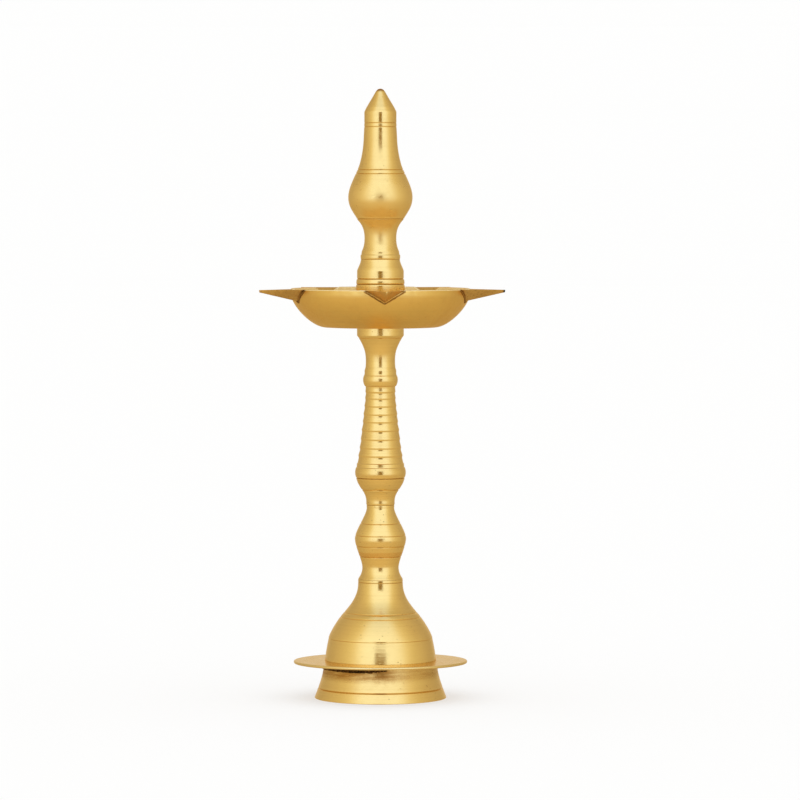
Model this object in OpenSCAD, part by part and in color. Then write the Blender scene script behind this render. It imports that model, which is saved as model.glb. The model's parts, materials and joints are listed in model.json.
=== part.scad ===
// Standing brass oil lamp: a hollow foot with a drip tray and a bell, two turned stem
// pieces, a shallow bowl with five wick beaks, and a collar and spire on top.
// Every turned piece screws onto the one below it with a stud.

/* [Foot] */
// Diameter across the bottom of the foot
foot_d = 71.6; // [70:0.2:76]
// Diameter of the foot where it meets the tray
foot_top_d = 62; // [60:0.2:63]
// Wall of the hollow foot
foot_wall = 2; // [1.5:0.1:2.2]
// Height of the tray's underside
tray_z = 19.3; // [19:0.1:20]
// Thickness of the drip tray
tray_t = 1.6; // [1.2:0.1:2]
// Diameter of the drip tray
tray_d = 94.4; // [80:0.2:110]

/* [Bell] */
// Diameter of the bell where it stands on the tray
bell_d = 60.2; // [59.4:0.2:62]
// Diameter of the seat on top of the bell
bell_seat_d = 24.2; // [22:0.2:25]
// Wall of the bell
bell_wall = 2.2; // [1.8:0.1:2.4]

/* [Stem] */
// Diameter of the knop at its crest
knop_d = 27.8; // [26:0.2:32]
// Diameter of the waist between the knop and the column
waist_d = 15.2; // [14.4:0.2:15.6]
// Diameter of the bead at the foot of the column
bead_d = 27.6; // [27:0.2:30]
// Diameter of the drum that carries the bowl
drum_d = 25.4; // [25:0.2:27]

/* [Bowl] */
// Diameter of the bowl at its rim
bowl_d = 97.2; // [96:0.2:98.4]
// Diameter of the flat under the bowl
bowl_flat_d = 60; // [50:0.5:64]
// Wall of the bowl at the rim
bowl_wall = 1.8; // [1.4:0.1:2.2]
// Number of wick beaks
beaks = 5; // [5:1:5]
// Distance from the axis to a beak's tip
beak_reach = 69.4; // [66:0.2:74]
// Width of a beak where it meets the bowl
beak_w = 21.4; // [20:0.2:23]
// Depth of a beak where it meets the bowl
beak_depth = 6.5; // [6:0.1:7.5]

/* [Top] */
// Diameter of the collar
collar_d = 25.3; // [25:0.1:26]
// Diameter of the spire's knob
knob_d = 34.8; // [32:0.2:38]
// Height of the whole lamp
total_h = 330.2; // [330:0.1:331]

/* [Screw joints] */
// Diameter of every stud
stud_d = 8; // [7.4:0.1:8]
// Gap on the radius between a stud and its socket
stud_gap = 0.05; // [0.02:0.01:0.09]
// Length of a stud in the piece above the joint
stud_up = 8; // [6:0.5:8]
// Length of a stud in the piece below the joint
stud_down = 10; // [8:0.5:10]

/* [Hidden] */
$fn = 96;

brass = [0.86, 0.70, 0.35];
brass_bowl = [0.80, 0.62, 0.32];
brass_pale = [0.88, 0.76, 0.50];
brass_dull = [0.45, 0.34, 0.20];

foot_r = foot_d / 2;
foot_top_r = foot_top_d / 2;
tray_r = tray_d / 2;
tray_hole_r = 27.7;
tray_top = tray_z + tray_t;
bell_r = bell_d / 2;
seat_r = bell_seat_d / 2;
knop_r = knop_d / 2;
waist_r = waist_d / 2;
bead_r = bead_d / 2;
drum_r = drum_d / 2;
bowl_r = bowl_d / 2;
flat_r = bowl_flat_d / 2;
collar_r = collar_d / 2;
knob_r = knob_d / 2;
stud_r = stud_d / 2;
socket_r = stud_r + stud_gap;
socket_extra = 1.5;

// Heights of the joints from the table up
knop_z = 64.6;
column_z = 104.9;
bowl_z = 201.3;
bowl_floor = 2.2;
collar_z = bowl_z + bowl_floor;
spire_z = 238.0;
rim_z = 222.3;
beak_top = 222.1;
beak_tip_top = 221.9;
beak_tip_bottom = 220.6;
beak_wall_w = 2.5;
beak_wall_t = 1.5;
braze_w = 1.2;
bowl_hole_r = 4.5;

// Points on a Bezier curve, without its first point
function bez(a, b, c, d, n = 6) =
    [for (i = [1:n]) let (t = i / n, u = 1 - t)
        u * u * u * a + 3 * u * u * t * b + 3 * u * t * t * c + t * t * t * d];

// Turned solid from an outline of [radius, height] points
module turned(outline) {
    rotate_extrude() polygon(outline);
}

// V groove cut round a turned piece
module groove(r, z, w = 0.35, d = 0.4) {
    turned([[r - d, z], [r + 0.6, z - w * (1 + 0.6 / d)], [r + 0.6, z + w * (1 + 0.6 / d)]]);
}

// Blind socket that opens downwards at height z
module socket_up(z) {
    translate([0, 0, z - 1]) cylinder(r = socket_r, h = stud_up + 1.3);
}

// Blind socket that opens upwards at height z
module socket_down(z) {
    translate([0, 0, z - stud_down - socket_extra])
        cylinder(r = socket_r, h = stud_down + socket_extra + 1);
}

// Stud across the joint at height z, with `below` under the joint plane
module stud(z, below) {
    color(brass_dull)
        translate([0, 0, z - below])
            cylinder(r = stud_r, h = below + stud_up);
}

// Hollow foot that the lamp stands on
module foot_skirt() {
    w = foot_wall;
    outline = concat(
        [[foot_r - w, 0], [foot_r - 0.5, 0], [foot_r, 0.6]],
        bez([foot_r, 0.6], [foot_r - 2.3, 6.4], [foot_top_r, 13], [foot_top_r, 16.8], 8),
        [[foot_top_r, tray_z], [foot_top_r - w, tray_z], [foot_top_r - w, 16.8]],
        bez([foot_top_r - w, 16.8], [foot_top_r - w, 13],
            [foot_r - 2.3 - w, 6.4], [foot_r - w, 0.6], 8));
    color(brass)
        difference() {
            turned(outline);
            groove(foot_r - 2.1, 5.5);
        }
}

// Flat ring that catches the drips
module drip_tray() {
    e = tray_t / 4;
    color(brass_pale)
        turned([[tray_hole_r, tray_z], [tray_r - e, tray_z], [tray_r, tray_z + e],
            [tray_r, tray_top - e], [tray_r - e, tray_top], [tray_hole_r, tray_top]]);
}

// Fillet of braze between the foot and the tray
module tray_braze() {
    r = foot_top_r;
    color(brass_dull)
        turned([[r, tray_z - 2.4], [r + 0.6, tray_z - 1.8], [r + 1.6, tray_z - 0.7],
            [r + 2.4, tray_z], [r, tray_z]]);
}

// Bell that rises from the tray to the first joint
module bell() {
    w = bell_wall;
    r = bell_r;
    outline = concat(
        [[r - w, tray_top], [r, tray_top], [r - 1.8, 32.4], [r - 1.9, 32.9]],
        bez([r - 1.9, 32.9], [r - 3.1, 36.3], [r - 6.5, 42], [20.4, 45.7], 7),
        bez([20.4, 45.7], [16.6, 50.1], [seat_r + 0.2, 54.9], [seat_r + 0.05, 62], 7),
        [[seat_r, 64.2], [seat_r - 0.1, knop_z], [0, knop_z], [0, 48.2]],
        bez([0, 48.2], [6, 48.2], [13, 47.2], [17.6, 44.4], 6),
        bez([17.6, 44.4], [21.4, 41.2], [r - 5.3, 36.5], [r - 4.1, 33.4], 6));
    color(brass)
        difference() {
            turned(outline);
            groove(12.15, 63, 0.2, 0.25);
            groove(19.75, 46.5, 0.3, 0.4);
            groove(21.8, 44, 0.3, 0.4);
            groove(28.3, 32.4, 0.25, 0.3);
            socket_down(knop_z);
        }
}

// Turned knop between the bell and the column
module knop() {
    k = knop_r;
    outline = concat(
        [[0, knop_z], [seat_r - 0.1, knop_z], [seat_r - 0.2, 65.2]],
        bez([seat_r - 0.2, 65.2], [10.6, 66.9], [9.85, 68.8], [9.88, 71], 6),
        bez([9.88, 71], [9.95, 75], [k - 0.3, 81.5], [k, 86.3], 9),
        bez([k, 86.3], [k + 0.05, 91], [8.15, 98.2], [waist_r - 0.15, 103], 9),
        [[waist_r - 0.1, column_z], [0, column_z]]);
    color(brass)
        difference() {
            turned(outline);
            for (g = [[11.1, 76.9], [12.8, 82.5], [13.3, 88.4], [10.9, 94.9]])
                groove(g[0], g[1], 0.25, 0.35);
            socket_up(knop_z);
            socket_down(column_z);
        }
}

// Heights and radii of the ridges along the column's taper
ridges = [[127.4, 12.8], [131.9, 12], [136.2, 11.3], [140.9, 10.7], [145.7, 10.2],
    [150.3, 9.58], [154.4, 9.2], [158.8, 8.7], [163, 8.32], [166.6, 8.2]];
// Height of the flat under each ridge
ridge_flat = 1.4;

// Radius of the flat under ridge i
function flat_under(i) = min(ridges[i][1] - 0.1, ridges[i - 1][1] - 0.34);

// Ribbed column that carries the bowl
module column() {
    b = bead_r;
    outline = concat(
        [[0, column_z], [waist_r, column_z], [waist_r + 0.12, 105.4]],
        bez([waist_r + 0.12, 105.4], [7.45, 111.4], [9.9, 111.9], [b - 1.4, 117.1], 7),
        [[b - 0.95, 118.4], [b - 0.65, 119.3]],
        bez([b - 0.65, 119.9], [b + 0.05, 120.9], [b + 0.2, 123.2], [b - 0.5, 125.2], 6),
        [[b - 0.9, 125.6], [ridges[0][1], ridges[0][0]]],
        [for (i = [1:len(ridges) - 1]) let (z = ridges[i][0], r = ridges[i][1])
            each [[flat_under(i), z - ridge_flat], [flat_under(i), z - ridge_flat / 2],
                [r - 0.06, z - 0.3], [r, z]]],
        [[8, 168.2], [8.1, 169.3], [8.5, 169.5]],
        bez([8.5, 169.5], [9.3, 170.6], [9.75, 172.9], [9.15, 174.6], 6),
        [[8.7, 175.6], [8.6, 176.2], [8.72, 178], [8.1, 178.9]],
        bez([8.1, 178.9], [7.72, 182.4], [7.8, 186.8], [9, 189.9], 7),
        [[9.9, 192.1], [11.2, 194.5], [drum_r - 0.15, 196.6], [drum_r, 196.9],
            [drum_r, 200.9], [drum_r - 0.3, bowl_z], [0, bowl_z]]);
    color(brass)
        difference() {
            turned(outline);
            groove(10.1, 113.2, 0.3, 0.4);
            groove(13.15, 119.6, 0.3, 0.5);
            groove(11.8, 195.5, 0.25, 0.3);
            socket_up(column_z);
            socket_down(bowl_z);
        }
}

// Outer curve of the bowl from the flat under it to the rim, g further out
function bowl_curve(g) =
    bez([flat_r, bowl_z - g], [flat_r + 7, bowl_z - g],
        [bowl_r + g, 213], [bowl_r + g, 220], 9);

// Everything inside the bowl's outer surface, and above it
module bowl_envelope(g, top) {
    turned(concat([[0, bowl_z - g], [flat_r, bowl_z - g]], bowl_curve(g),
        [[bowl_r + g, top], [0, top]]));
}

// Turns a thing to the place of beak k
module at_beak(k) {
    rotate([0, 0, -90 + (k - 1) * 360 / beaks]) children();
}

// Shallow bowl with a V notch through its rim at every beak
module oil_bowl() {
    w = bowl_wall;
    r = bowl_r;
    outline = concat(
        [[bowl_hole_r, bowl_z], [flat_r, bowl_z]], bowl_curve(0),
        [[r, rim_z - 0.5], [r - 0.5, rim_z], [r - w + 0.4, rim_z], [r - w, rim_z - 0.5]],
        bez([r - w, 219.4], [r - w, 213.8], [flat_r + 6, collar_z],
            [flat_r - 0.5, collar_z], 9),
        [[bowl_hole_r, collar_z]]);
    color(brass_bowl)
        difference() {
            turned(outline);
            for (k = [1:beaks])
                at_beak(k)
                    translate([r - 8, 0, 0])
                        rotate([90, 0, 90])
                            linear_extrude(12)
                                polygon([[0, 217.3], [10, 223.1], [-10, 223.1]]);
        }
}

// Solid V between two stations: x, half width, height of the keel and of the top
module vee(x0, w0, k0, t0, x1, w1, k1, t1) {
    polyhedron(
        points = [[x0, 0, k0], [x0, w0, t0], [x0, -w0, t0],
            [x1, 0, k1], [x1, w1, t1], [x1, -w1, t1]],
        faces = [[0, 1, 2], [3, 5, 4], [1, 4, 5, 2],
            [0, 3, 4], [0, 4, 1], [0, 2, 5], [0, 5, 3]]);
}

// Station of the beak's root on the bowl's wall, and how far its lines run on inside
root_x = sqrt(bowl_r * bowl_r - beak_w * beak_w / 4);
root_in = 6;
grow = 1 + root_in / (beak_reach - root_x);

// Outside of a beak, g further out at its root
module beak_outside(g) {
    h = beak_tip_bottom - (beak_top - beak_depth);
    tw = 0.6;
    vee(root_x - root_in, tw + (beak_w / 2 - tw) * grow + 1.9 * g,
        beak_tip_bottom - h * grow - 1.1 * g, beak_top,
        beak_reach, tw, beak_tip_bottom, beak_tip_top);
}

// Trough inside a beak, open at the top
module beak_inside() {
    w = beak_w / 2 - beak_wall_w;
    k = beak_top - beak_depth + beak_wall_t;
    run = 18;
    rise = beak_tip_top - k;
    side = w / (beak_top - k);
    top = beak_top + 2;
    x0 = root_x - root_in - 1;
    x1 = root_x + run + 1;
    k0 = k - rise * (root_in + 1) / run;
    k1 = k + rise * (run + 1) / run;
    vee(x0, (top - k0) * side, k0, top, x1, (top - k1) * side, k1, top);
}

// Pointed trough that a wick lies in
module beak(k) {
    color(brass)
        at_beak(k)
            difference() {
                beak_outside(0);
                beak_inside();
                bowl_envelope(0, rim_z + 8);
            }
}

// Fillet of braze along the seam between a beak and the bowl
module beak_braze(k) {
    color(brass_dull)
        at_beak(k)
            difference() {
                intersection() {
                    beak_outside(braze_w);
                    bowl_envelope(braze_w, beak_top);
                }
                beak_outside(0);
                bowl_envelope(0, rim_z + 8);
            }
}

module beak_1() { beak(1); }
module beak_2() { beak(2); }
module beak_3() { beak(3); }
module beak_4() { beak(4); }
module beak_5() { beak(5); }
module beak_braze_1() { beak_braze(1); }
module beak_braze_2() { beak_braze(2); }
module beak_braze_3() { beak_braze(3); }
module beak_braze_4() { beak_braze(4); }
module beak_braze_5() { beak_braze(5); }

// Collar that stands in the bowl and clamps it to the column
module collar() {
    c = collar_r;
    outline = concat(
        [[0, collar_z], [14.5, collar_z], [14.5, 204.6]],
        bez([14.5, 204.6], [13.8, 204.9], [c + 0.5, 206], [c + 0.5, 208], 4),
        [[c + 0.5, 223.4], [c + 0.2, 224.4]],
        bez([c + 0.2, 224.4], [c + 0.5, 225], [c + 0.5, 226.4], [c + 0.05, 227.2], 4),
        [[c, 227.6], [c, 231.8]],
        bez([c, 231.8], [c - 0.3, 233.2], [11.2, 234.9], [10.65, 237.2], 6),
        [[10.6, spire_z], [0, spire_z]]);
    color(brass)
        difference() {
            turned(outline);
            groove(12.85, 224.6, 0.3, 0.45);
            groove(12.72, 227.5, 0.3, 0.45);
            socket_up(collar_z);
            socket_down(spire_z);
        }
}

// Spire with a round knob, a tapering neck and a pointed tip
module spire() {
    k = knob_r;
    outline = concat(
        [[0, spire_z], [10.6, spire_z], [10.75, 239], [10.75, 240.2],
            [10.35, 241], [10.1, 242.4]],
        bez([10.1, 242.4], [9.1, 244.4], [8.6, 246.6], [8.6, 249.4], 5),
        bez([8.6, 249.4], [8.55, 254], [10, 257], [12.7, 259.7], 7),
        [[13, 260.6]],
        bez([13, 260.6], [15.2, 264], [k, 267], [k, 271.5], 7),
        bez([k, 271.5], [k, 277.5], [13, 284], [11.3, 289.3], 9),
        bez([11.3, 289.3], [10.2, 293.2], [9.2, 298], [9.05, 304], 6),
        [[8.78, 308.8], [8.73, 310.6], [8.7, 317.6], [8.6, 318.1], [7.48, 320.2],
            [4.56, 325.1], [3.1, 327.8]],
        bez([3.1, 327.8], [2.5, 328.9], [1.6, total_h], [0, total_h], 6));
    color(brass)
        difference() {
            turned(outline);
            groove(12.75, 259.9, 0.25, 0.45);
            groove(12.45, 286.5, 0.25, 0.3);
            groove(13.2, 284.3, 0.25, 0.3);
            groove(8.75, 309.7, 0.25, 0.2);
            groove(8.7, 311.7, 0.25, 0.2);
            socket_up(spire_z);
        }
}

// Studs across the four screwed joints; the collar's also passes through the bowl
module knop_stud() { stud(knop_z, stud_down); }
module column_stud() { stud(column_z, stud_down); }
module collar_stud() { stud(collar_z, stud_down + bowl_floor); }
module spire_stud() { stud(spire_z, stud_down); }

foot_skirt();
drip_tray();
tray_braze();
bell();
knop_stud();
knop();
column_stud();
column();
oil_bowl();
beak_1();
beak_2();
beak_3();
beak_4();
beak_5();
beak_braze_1();
beak_braze_2();
beak_braze_3();
beak_braze_4();
beak_braze_5();
collar_stud();
collar();
spire_stud();
spire();
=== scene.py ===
"""Standing brass oil lamp: hollow foot, drip tray and bell, a screwed stem, a bowl with
five wick beaks, a collar and a spire. Sizes are in millimetres in the shape functions."""

import json
import math

import bmesh
import bpy
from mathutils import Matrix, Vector

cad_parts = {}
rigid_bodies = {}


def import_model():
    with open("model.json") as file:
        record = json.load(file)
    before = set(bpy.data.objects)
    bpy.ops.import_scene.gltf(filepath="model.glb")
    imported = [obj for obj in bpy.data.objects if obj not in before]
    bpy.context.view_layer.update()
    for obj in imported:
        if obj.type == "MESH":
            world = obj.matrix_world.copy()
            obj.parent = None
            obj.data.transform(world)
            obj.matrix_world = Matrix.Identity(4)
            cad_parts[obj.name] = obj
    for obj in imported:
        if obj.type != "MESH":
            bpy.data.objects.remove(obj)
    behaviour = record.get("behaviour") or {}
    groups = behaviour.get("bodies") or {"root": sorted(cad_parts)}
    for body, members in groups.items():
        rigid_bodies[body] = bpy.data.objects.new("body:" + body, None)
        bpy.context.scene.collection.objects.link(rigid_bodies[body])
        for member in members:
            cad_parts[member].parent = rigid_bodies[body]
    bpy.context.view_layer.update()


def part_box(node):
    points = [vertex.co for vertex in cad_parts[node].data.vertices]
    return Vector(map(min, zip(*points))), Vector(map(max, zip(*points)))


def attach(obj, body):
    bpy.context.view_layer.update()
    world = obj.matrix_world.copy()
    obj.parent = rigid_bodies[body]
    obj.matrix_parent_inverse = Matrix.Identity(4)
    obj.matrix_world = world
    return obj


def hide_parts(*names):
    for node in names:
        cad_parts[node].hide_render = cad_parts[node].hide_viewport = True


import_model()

bl_info = {
    "name": "Standing Oil Lamp",
    "version": (1, 0, 0),
    "blender": (4, 5, 0),
    "location": "View3D > Sidebar > Oil Lamp",
    "description": "Builds a turned brass oil lamp that screws together",
    "category": "Object",
}

MM = 0.001
TURN_STEPS = 144
BOWL_STEPS = 200

# heights of the joints between the pieces, in mm
BELL_TOP = 64.6
KNOP_TOP = 104.9
COLUMN_TOP = 201.3
BOWL_FLOOR = 203.5
COLLAR_TOP = 238.0

# the bowl and its beaks, in mm
BOWL_FLAT = 30.0
BOWL_RADIUS = 48.6
BEAKS = 5
BEAK_TOP = 222.1
BEAK_KEEL = BEAK_TOP - 6.5
TIP_TOP = 221.9
TIP_KEEL = 220.6
TIP_HALF = 0.6
ROOT_OVERRUN = 6.0
TROUGH_RUN = 18.0
CUTTER_TOP = 224.1
NOTCH = (10.0, 217.3, 223.1)  # half width, height of keel and of top
ABOVE_RIM = 230.0

# the tent's light as (place, colour), from the front (0) round to the back (1); a colour ramp
# holds no value above 1, so ramps are divided by PEAK and the tent's strength multiplied by it
PEAK = 1.35
UPPER_LIGHT = ((0.0, (0.89, 1.03, 1.32)), (0.15, (0.89, 1.03, 1.32)), (0.24, (0.87, 0.98, 1.16)),
               (0.32, (0.75, 0.73, 0.60)), (0.42, (0.61, 0.57, 0.42)), (0.55, (0.53, 0.47, 0.34)),
               (0.72, (0.42, 0.38, 0.31)), (0.82, (0.43, 0.40, 0.36)), (0.9, (0.52, 0.48, 0.41)),
               (1.0, (0.60, 0.55, 0.47)))
LOWER_LIGHT = ((0.0, (0.62, 0.53, 0.35)), (0.3, (0.59, 0.50, 0.32)), (0.6, (0.48, 0.41, 0.27)),
               (1.0, (0.41, 0.34, 0.24)))
GAP_LIGHT = (0.25, 0.175, 0.06)
# soft edges in the tent, in degrees round from the front or up from level
HORIZON = (-20.0, -3.5)
GAP_SIDE = (10.5, 12.5)
GAP_FOOT = (-14.0, -12.0)
GAP_HEAD = (14.0, 16.0)
PLAIN_LIGHT = 1.3

# where the camera looks, and how far it stands above that, in metres
LOOK_ASIDE = 0.0106
LOOK_HEIGHT = 0.1618
CAMERA_RISE = 0.1131

# colour of polish residue and of painted shade in grooves and corners, and of the dirt in pits
RESIDUE_AND_SHADE = (0.16, 0.07, 0.02, 1)
SOOT = (0.02, 0.012, 0.006, 1)
SOOT_FADE = 0.0012
BEAK_STAIN = (0.42, 0.21, 0.055, 1)


# ---------------------------------------------------------------- outlines

def bez(a, b, c, d, n=12):
    """Points on a Bezier curve in the (radius, height) plane, without its first point."""
    out = []
    for i in range(1, n + 1):
        t = i / n
        u = 1 - t
        k = (u * u * u, 3 * u * u * t, 3 * u * t * t, t * t * t)
        out.append(tuple(sum(w * p[j] for w, p in zip(k, (a, b, c, d))) for j in (0, 1)))
    return out


def radius_at(outline, z):
    """Radius of an upward outline at height z."""
    for (r0, z0), (r1, z1) in zip(outline, outline[1:]):
        if z0 <= z <= z1 and z1 > z0:
            return r0 + (r1 - r0) * (z - z0) / (z1 - z0)
    raise ValueError(f"no outline at height {z}")


def scribe(outline, marks):
    """Cuts V grooves with soft bottoms into an upward outline: (height, half width, depth)."""
    for z, w, d in marks:
        low, high = z - w, z + w
        cut = [(radius_at(outline, z + s * w) - d * k, z + s * w) for s, k in (
            (-1.0, 0.0), (-0.45, 0.62), (-0.15, 1.0), (0.15, 1.0), (0.45, 0.62), (1.0, 0.0))]
        below = [p for p in outline if p[1] < low - 0.02]
        above = [p for p in outline if p[1] > high + 0.02]
        outline = below + cut + above
    return outline


def socket_up(z, sizes):
    """Outline of a blind socket that opens downwards at height z, from its roof out."""
    r = sizes.stud_radius / MM + 0.1
    roof = z + sizes.stud_up / MM + 0.3
    return [(0.0, roof + 0.8), (r - 0.9, roof), (r, roof - 0.4), (r, z + 0.5), (r + 0.45, z)]


def socket_down(z, sizes):
    """Outline of a blind socket that opens upwards at height z, from its mouth in."""
    r = sizes.stud_radius / MM + 0.1
    floor = z - sizes.stud_down / MM - 1.5
    return [(r + 0.45, z), (r, z - 0.5), (r, floor + 0.4), (r - 0.9, floor), (0.0, floor - 0.8)]


def supported(outline, reach=0.22):
    """Adds a point near each end of every long straight, which keeps its shading straight."""
    out = []
    for a, b in zip(outline, outline[1:] + [outline[-1]]):
        out.append(a)
        length = math.dist(a, b)
        if length > 4 * reach:
            for f in (reach / length, 1 - reach / length):
                out.append(tuple(p + (q - p) * f for p, q in zip(a, b)))
    return out


def foot_outline():
    w = 2.0
    outer = [(35.5, 0.0), (35.72, 0.08), (35.8, 0.3)]
    outer += bez((35.8, 0.3), (33.4, 6.4), (31.0, 13.0), (31.0, 16.8), 20)
    outer += [(31.0, 18.0), (31.0, 19.5)]
    outer = scribe(outer, [(5.5, 0.38, 0.42)])
    inner = [(31.0 - w, 19.5), (31.0 - w, 16.8)]
    inner += bez((31.0 - w, 16.8), (31.0 - w, 13.0), (33.4 - w, 6.4), (33.7, 0.6), 16)
    inner += [(33.8, 0.15), (34.0, 0.0)]
    return outer + inner


def tray_outline():
    low, high = 18.85, 20.35
    rim = [(46.4, low)] + bez((46.4, low), (47.35, low), (47.35, high), (46.5, high), 8)
    return [(27.7, low), (34.0, low), (40.0, low)] + rim + [(40.0, high), (27.7, high)]


def bell_outer():
    out = [(30.2, 19.75), (30.17, 20.9), (29.9, 22.9), (29.6, 24.9), (29.25, 27.0), (28.85, 29.1),
           (28.42, 31.2), (28.25, 32.0), (28.12, 33.05)]
    out += bez((28.12, 33.05), (27.0, 36.3), (23.6, 42.0), (20.4, 45.7), 18)
    out += bez((20.4, 45.7), (16.6, 50.1), (12.3, 54.9), (12.15, 62.0), 22)
    out += [(12.12, 64.3), (12.06, 64.5), (11.95, BELL_TOP)]
    return scribe(out, [(32.4, 0.18, 0.16), (44.0, 0.3, 0.3), (46.5, 0.3, 0.3), (63.0, 0.2, 0.22)])


def bell_outline(sizes):
    inner = bez((0.0, 48.2), (6.0, 48.2), (13.0, 47.2), (17.6, 44.4), 12)
    inner += bez((17.6, 44.4), (21.4, 41.2), (24.8, 36.5), (26.0, 33.4), 12)
    return bell_outer() + socket_down(BELL_TOP, sizes) + [(0.0, 48.2)] + inner + [(27.9, 19.75)]


def knop_outline(sizes):
    out = [(11.9, BELL_TOP), (12.0, 64.68), (11.85, 65.1)]
    out += bez((11.85, 65.1), (10.6, 66.9), (9.85, 68.8), (9.88, 71.0), 12)
    out += bez((9.88, 71.0), (9.95, 75.0), (13.6, 81.5), (13.9, 86.3), 20)
    out += bez((13.9, 86.3), (13.95, 91.0), (8.15, 98.2), (7.45, 103.0), 22)
    out += [(7.5, 104.2), (7.52, 104.7), (7.4, KNOP_TOP)]
    out = scribe(out, [(76.9, 0.3, 0.3), (82.5, 0.3, 0.3), (88.4, 0.25, 0.22), (94.9, 0.3, 0.25)])
    return socket_up(BELL_TOP, sizes) + out + socket_down(KNOP_TOP, sizes)


# height and radius of each ridge of the column
RIDGES = ((131.9, 12.0), (136.2, 11.3), (140.9, 10.7), (145.7, 10.2), (150.3, 9.58),
          (154.4, 9.2), (158.8, 8.7), (163.0, 8.32), (166.6, 8.2))


def column_outline(sizes):
    out = [(7.3, KNOP_TOP), (7.6, 105.05), (7.72, 105.4)]
    out += bez((7.72, 105.4), (7.45, 111.4), (9.9, 111.9), (12.4, 117.1), 20)
    out += [(12.85, 118.4), (13.15, 119.3)]
    out += bez((13.15, 119.9), (13.85, 120.9), (14.0, 123.2), (13.3, 125.2), 12)
    out += [(13.0, 125.45), (12.9, 125.7), (12.8, 127.4), (12.4, 127.75)]
    below = 12.8
    for z, r in RIDGES:
        flat = min(r - 0.16, below - 0.38)
        out += [(flat, z - 1.6), (flat - 0.01, z - 1.0), (r - 0.1, z - 0.3), (r, z - 0.08),
                (r - 0.05, z + 0.12)]
        below = r
    out += [(7.98, 168.2), (8.1, 169.3), (8.5, 169.5)]
    out += bez((8.5, 169.5), (9.3, 170.6), (9.75, 172.9), (9.15, 174.6), 12)
    out += [(8.7, 175.6), (8.6, 176.2), (8.6, 177.0), (8.6, 177.8), (8.42, 178.5), (8.15, 179.3)]
    out += bez((8.15, 179.3), (7.76, 182.4), (7.8, 186.8), (9.0, 189.9), 14)
    out += bez((9.0, 189.9), (9.9, 192.2), (10.9, 194.3), (12.55, 196.6), 8)
    out += [(12.7, 196.9), (12.7, 201.05), (12.6, 201.2), (12.4, COLUMN_TOP)]
    out = scribe(out, [(113.2, 0.32, 0.36), (119.6, 0.3, 0.45), (195.5, 0.2, 0.2)])
    return socket_up(KNOP_TOP, sizes) + out + socket_down(COLUMN_TOP, sizes)


def bowl_curve():
    """Outer curve of the bowl, from the flat under it up to the rim."""
    return bez((BOWL_FLAT, COLUMN_TOP), (37.0, COLUMN_TOP), (BOWL_RADIUS, 213.0),
               (BOWL_RADIUS, 220.0), 32)


def bowl_outline():
    outer = [(4.5, COLUMN_TOP), (29.0, COLUMN_TOP), (BOWL_FLAT, COLUMN_TOP)] + bowl_curve()
    outer += [(BOWL_RADIUS, 221.8), (48.45, 222.12), (48.1, 222.3), (47.3, 222.3), (46.95, 222.12)]
    inner = [(46.8, 221.8)]
    inner += bez((46.8, 219.4), (46.8, 213.8), (36.0, BOWL_FLOOR), (29.5, BOWL_FLOOR), 28)
    return outer + inner + [(4.5, BOWL_FLOOR)]


def collar_outline(sizes):
    out = [(14.3, BOWL_FLOOR), (14.5, 203.8), (14.5, 204.6)]
    out += bez((14.5, 204.6), (13.8, 204.9), (13.15, 206.0), (13.15, 208.0), 8)
    out += [(13.15, 223.9), (13.0, 224.5)]
    out += bez((13.0, 224.5), (13.12, 225.2), (13.1, 226.4), (12.8, 227.2), 6)
    out += [(12.66, 227.6), (12.65, 231.8)]
    out += bez((12.65, 231.8), (12.35, 233.2), (11.2, 234.9), (10.65, 237.2), 12)
    out += [(10.6, 237.8), (10.5, COLLAR_TOP)]
    out = scribe(out, [(224.6, 0.3, 0.4), (227.5, 0.3, 0.35)])
    return socket_up(BOWL_FLOOR, sizes) + out + socket_down(COLLAR_TOP, sizes)


def spire_outline(sizes):
    out = [(10.45, COLLAR_TOP), (10.62, 238.15), (10.72, 238.9), (10.75, 240.2), (10.32, 240.75),
           (10.25, 241.2), (10.1, 242.4)]
    out += bez((10.1, 242.4), (9.1, 244.4), (8.6, 246.6), (8.6, 249.4), 10)
    out += bez((8.6, 249.4), (8.55, 254.0), (10.0, 257.0), (12.65, 259.7), 14)
    out += [(12.95, 260.2), (13.05, 260.7)]
    out += bez((13.05, 260.7), (15.2, 264.0), (17.4, 267.0), (17.4, 271.5), 16)
    out += bez((17.4, 271.5), (17.4, 277.5), (13.0, 284.0), (11.3, 289.3), 22)
    out += bez((11.3, 289.3), (10.2, 293.2), (9.2, 298.0), (9.05, 304.0), 14)
    out += [(8.78, 308.8), (8.73, 310.6), (8.69, 313.0), (8.7, 317.5), (8.5, 318.15)]
    out += [(7.48, 320.2), (6.02, 322.65), (4.56, 325.1), (3.1, 327.6)]
    out += bez((3.1, 327.6), (2.4, 328.9), (1.6, 330.2), (0.0, 330.2), 10)
    out = scribe(out, [(259.95, 0.3, 0.42), (284.3, 0.3, 0.3), (286.5, 0.3, 0.3),
                       (309.6, 0.26, 0.22), (311.7, 0.26, 0.22)])
    return socket_up(COLLAR_TOP, sizes) + out


# ---------------------------------------------------------------- modelling helpers

def deselect_all():
    for o in bpy.context.view_layer.objects:
        o.select_set(False)


def choose(obj):
    """Selects one object alone and makes it the active one."""
    deselect_all()
    obj.select_set(True)
    bpy.context.view_layer.objects.active = obj


def edit_on(obj):
    choose(obj)
    bpy.ops.object.mode_set(mode="EDIT")


def edit_off():
    bpy.ops.object.mode_set(mode="OBJECT")


def select_where(obj, test):
    """In edit mode, selects the vertices that pass the test, with their edges and faces."""
    bm = bmesh.from_edit_mesh(obj.data)
    for v in bm.verts:
        v.select_set(False)
    for f in bm.faces:
        f.select_set(False)
    for v in bm.verts:
        v.select_set(bool(test(v.co)))
    bm.select_flush(True)
    bmesh.update_edit_mesh(obj.data)


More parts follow.
